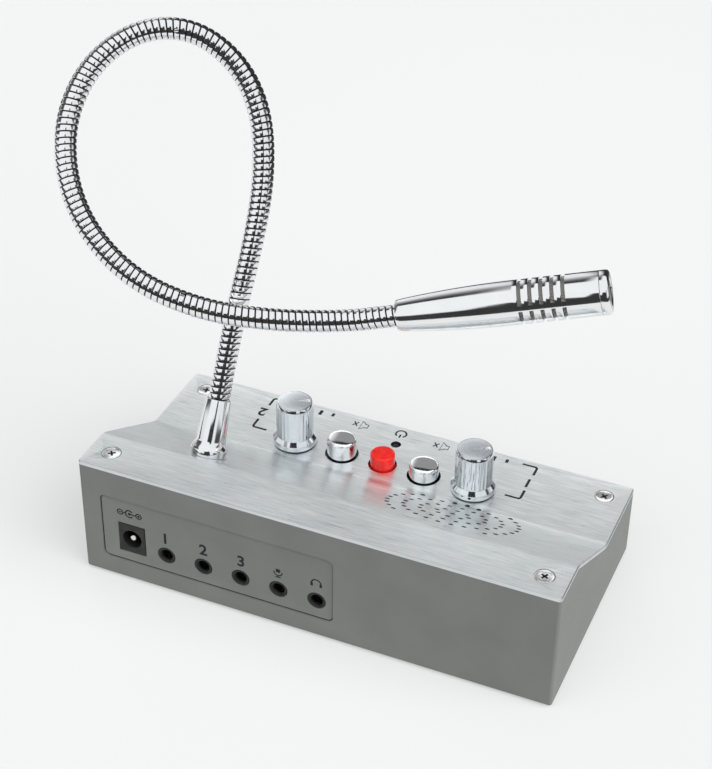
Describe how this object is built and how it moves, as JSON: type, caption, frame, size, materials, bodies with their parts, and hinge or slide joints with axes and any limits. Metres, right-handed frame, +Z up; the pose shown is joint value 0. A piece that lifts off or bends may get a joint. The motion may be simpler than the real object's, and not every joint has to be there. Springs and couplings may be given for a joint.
{
  "type": "teller window intercom",
  "caption": "Desk unit of a window intercom: a wedge housing with a bent metal top plate, knobs, buttons, a speaker grille, rear sockets and a gooseneck microphone.",
  "frame": {"origin": "on the table, under the middle of the housing", "axes": "+X along the housing's length, +Y towards the operator, -Y the side with the sockets, +Z up"},
  "size_m": [0.1816, 0.083, 0.1567],
  "materials": {
    "housing": "matte",
    "plate": "brushed",
    "screw": "satin",
    "cover": "matte",
    "foot": "matte",
    "board": "satin",
    "post": "satin",
    "socket": "satin",
    "socket_pin": "polished",
    "chip": "matte",
    "heat_sink": "satin",
    "capacitor": "satin",
    "button_chrome": "polished",
    "button_red": "glossy",
    "switch": "satin",
    "plunger": "satin",
    "pot": "satin",
    "shaft": "satin",
    "knob": "polished",
    "led": "glossy",
    "cloth": "matte",
    "gasket": "matte",
    "basket": "satin",
    "cone": "matte",
    "magnet": "satin",
    "sleeve": "polished",
    "nut": "satin",
    "neck": "polished",
    "lead": "satin",
    "mic": "polished",
    "mesh": "matte",
    "holder": "matte",
    "capsule": "satin"
  },
  "bodies": {
    "housing": {"housing_shell": "housing", "top_plate": "plate", "plate_screws": "screw", "bottom_cover": "cover", "cover_screws": "screw", "rubber_feet": "foot", "main_board": "board", "main_board_posts": "post", "main_board_screws": "screw", "control_board": "board", "control_board_posts": "post", "control_board_screws": "screw", "dc_inlet": "socket", "dc_inlet_pin": "socket_pin", "audio_jack_1": "socket", "audio_jack_2": "socket", "audio_jack_3": "socket", "audio_jack_4": "socket", "audio_jack_5": "socket", "amplifier_chip": "chip", "heat_sink": "heat_sink", "capacitors": "capacitor", "switch_body_left": "switch", "switch_body_power": "switch", "switch_body_right": "switch", "pot_body_left": "pot", "pot_body_right": "pot", "led": "led", "grille_cloth": "cloth", "speaker_gasket": "gasket", "speaker_basket": "basket", "speaker_cone": "cone", "speaker_magnet": "magnet", "neck_sleeve": "sleeve", "neck_washer": "nut", "neck_nut": "nut", "neck_foot": "neck", "inner_leads": "lead"},
    "mute_key_left": {"mute_button_left": "button_chrome", "switch_plunger_left": "plunger"},
    "power_key": {"power_button": "button_red", "switch_plunger_power": "plunger"},
    "mute_key_right": {"mute_button_right": "button_chrome", "switch_plunger_right": "plunger"},
    "volume_left": {"knob_left": "knob", "pot_shaft_left": "shaft"},
    "volume_right": {"knob_right": "knob", "pot_shaft_right": "shaft"},
    "neck_stem": {"neck_stem": "neck", "neck_lead_stem": "lead"},
    "neck_crown": {"neck_crown": "neck", "neck_lead_crown": "lead"},
    "neck_run": {"neck_run": "neck", "neck_lead_run": "lead"},
    "microphone": {"neck_tail": "neck", "mic_body": "mic", "mic_end_ring": "mic", "mic_mesh": "mesh", "mic_holder": "holder", "mic_capsule": "capsule"}
  },
  "joints": [
    {"name": "mute_press_left", "type": "slide", "parent": "housing", "child": "mute_key_left", "axis": [0, 0, 1], "range_m": [-0.0015, 0], "stiffness_N_per_m": 1000},
    {"name": "mute_press_right", "type": "slide", "parent": "housing", "child": "mute_key_right", "axis": [0, 0, 1], "range_m": [0, 0.0015], "stiffness_N_per_m": 1000},
    {"name": "power_press", "type": "slide", "parent": "housing", "child": "power_key", "axis": [0, 0, 1], "range_m": [-0.0015, 0], "stiffness_N_per_m": 1000},
    {"name": "volume_turn_left", "type": "hinge", "parent": "housing", "child": "volume_left", "pos_m": [-0.0308, 0.018, 0.03], "axis": [0, 0, 1], "range_deg": [-150, 150]},
    {"name": "volume_turn_right", "type": "hinge", "parent": "housing", "child": "volume_right", "pos_m": [0.0308, 0.018, 0.03], "axis": [0, 0, 1], "range_deg": [-150, 150]},
    {"name": "neck_base_bend", "type": "hinge", "parent": "housing", "child": "neck_stem", "pos_m": [-0.045, -0.00357, 0.06077], "axis": [1, 0, 0], "range_deg": [-15, 15]},
    {"name": "neck_crown_bend", "type": "hinge", "parent": "neck_stem", "child": "neck_crown", "pos_m": [-0.0545, 0.03875, 0.1383], "axis": [0.3883, -0.7366, 0.5537], "range_deg": [-12, 12]},
    {"name": "neck_fall_bend", "type": "hinge", "parent": "neck_crown", "child": "neck_run", "pos_m": [-0.09125, -0.00525, 0.1108], "axis": [0.3339, -0.7072, 0.6233], "range_deg": [-10, 15]},
    {"name": "microphone_turn", "type": "hinge", "parent": "neck_run", "child": "microphone", "pos_m": [0.00211, 0.00866, 0.08809], "axis": [-0.2135, -0.0611, 0.975], "range_deg": [-18, 18]}
  ]
}
